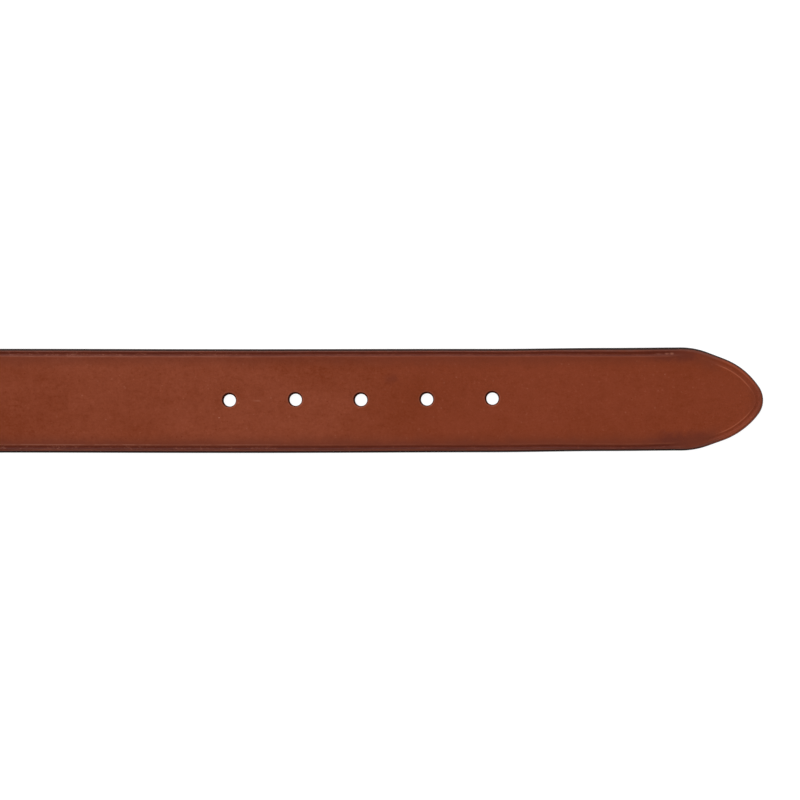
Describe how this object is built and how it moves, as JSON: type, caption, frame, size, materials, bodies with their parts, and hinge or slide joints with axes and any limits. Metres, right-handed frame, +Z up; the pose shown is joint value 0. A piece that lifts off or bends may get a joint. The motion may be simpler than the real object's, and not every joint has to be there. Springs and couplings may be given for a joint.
{
  "type": "leather dress belt",
  "caption": "Brown leather dress belt lying straight, with a pointed creased tip, punched holes, a plain frame buckle and a leather keeper loop.",
  "frame": {"origin": "on the ground under the middle of the belt's whole length and width", "axes": "+X along the strap towards its tip, +Y across the strap, +Z up from the ground through the grain side"},
  "size_m": [1.0556, 0.052, 0.0128],
  "materials": {
    "strap_leather": "smooth reddish brown grain side with dark burnished edges and a suede flesh side",
    "keeper_leather": "smooth reddish brown grain side with dark burnished edges",
    "buckle_metal": "plain satin nickel with softly rounded edges"
  },
  "bodies": {
    "root": {"strap": "strap_leather", "buckle": "buckle_metal", "keeper": "keeper_leather"}
  },
  "joints": []
}
